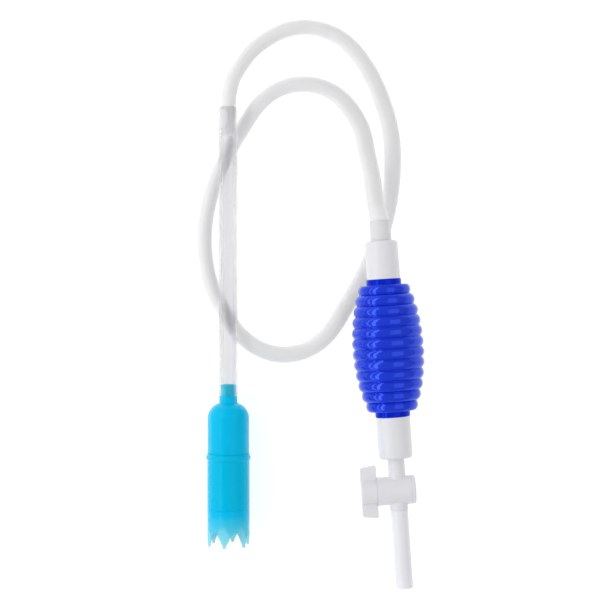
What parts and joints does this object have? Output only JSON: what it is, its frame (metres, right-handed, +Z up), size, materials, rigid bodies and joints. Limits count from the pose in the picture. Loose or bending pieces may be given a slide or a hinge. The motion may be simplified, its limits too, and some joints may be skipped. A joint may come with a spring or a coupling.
{
  "type": "gravel vacuum siphon",
  "caption": "Siphon gravel cleaner: toothed translucent nozzle on a clear lift tube, looped soft hose, ribbed squeeze bulb with check valves, tap and drain spout.",
  "frame": {"origin": "bottom centre of the box around the hard parts, on the surface that the siphon lies on", "axes": "+Y along the suction wand from the toothed mouth towards the hose, +X towards the pump, +Z up"},
  "size_m": [0.1814, 0.4536, 0.0563],
  "materials": {
    "nozzle_blue": "translucent cyan, satin",
    "clear_tube": "clear, slightly hazy",
    "hose_vinyl": "milky soft vinyl",
    "cuff_vinyl": "milky vinyl",
    "white_plastic": "white moulded polypropylene",
    "plug_plastic": "white, polished by use",
    "spout_plastic": "milky extruded tube",
    "bulb_blue": "glossy royal blue vinyl",
    "seal_rubber": "black seal rubber",
    "disc_rubber": "silicone"
  },
  "bodies": {
    "root": {"nozzle_bell": "nozzle_blue", "strainer_grid": "nozzle_blue", "lift_tube": "clear_tube", "suction_hose": "hose_vinyl", "hose_cuff": "cuff_vinyl", "inlet_cap": "white_plastic", "inlet_seat": "seal_rubber", "inlet_cage": "white_plastic", "squeeze_bulb": "bulb_blue"},
    "sleeve": {"gravel_sleeve": "nozzle_blue"},
    "inlet_flap": {"inlet_disc": "disc_rubber"},
    "outlet_end": {"outlet_cap": "white_plastic", "outlet_seat": "seal_rubber", "outlet_cage": "white_plastic", "valve_body": "white_plastic", "barrel_cap": "white_plastic", "outlet_tube": "spout_plastic"},
    "outlet_flap": {"outlet_disc": "disc_rubber"},
    "tap_handle": {"wing_handle": "white_plastic", "valve_plug": "plug_plastic", "plug_seals": "seal_rubber"}
  },
  "joints": [
    {"name": "sleeve_slide", "type": "slide", "parent": "root", "child": "sleeve", "axis": [0, -0.9998, -0.0175], "range_m": [0, 0.034]},
    {"name": "bulb_compress", "type": "slide", "parent": "root", "child": "outlet_end", "axis": [-0.068, 0.9977, 0], "range_m": [0, 0.02], "stiffness_N_per_m": 400, "deforming": ["squeeze_bulb"]},
    {"name": "handle_turn", "type": "hinge", "parent": "outlet_end", "child": "tap_handle", "pos_m": [0.06518, -0.11299, 0.02814], "axis": [0.9977, 0.068, 0], "range_deg": [0, 90]},
    {"name": "inlet_disc_lift", "type": "slide", "parent": "root", "child": "inlet_flap", "axis": [0.068, -0.9977, 0], "range_m": [0, 0.0025]},
    {"name": "outlet_disc_lift", "type": "slide", "parent": "outlet_end", "child": "outlet_flap", "axis": [0.068, -0.9977, 0], "range_m": [0, 0.0025]}
  ]
}
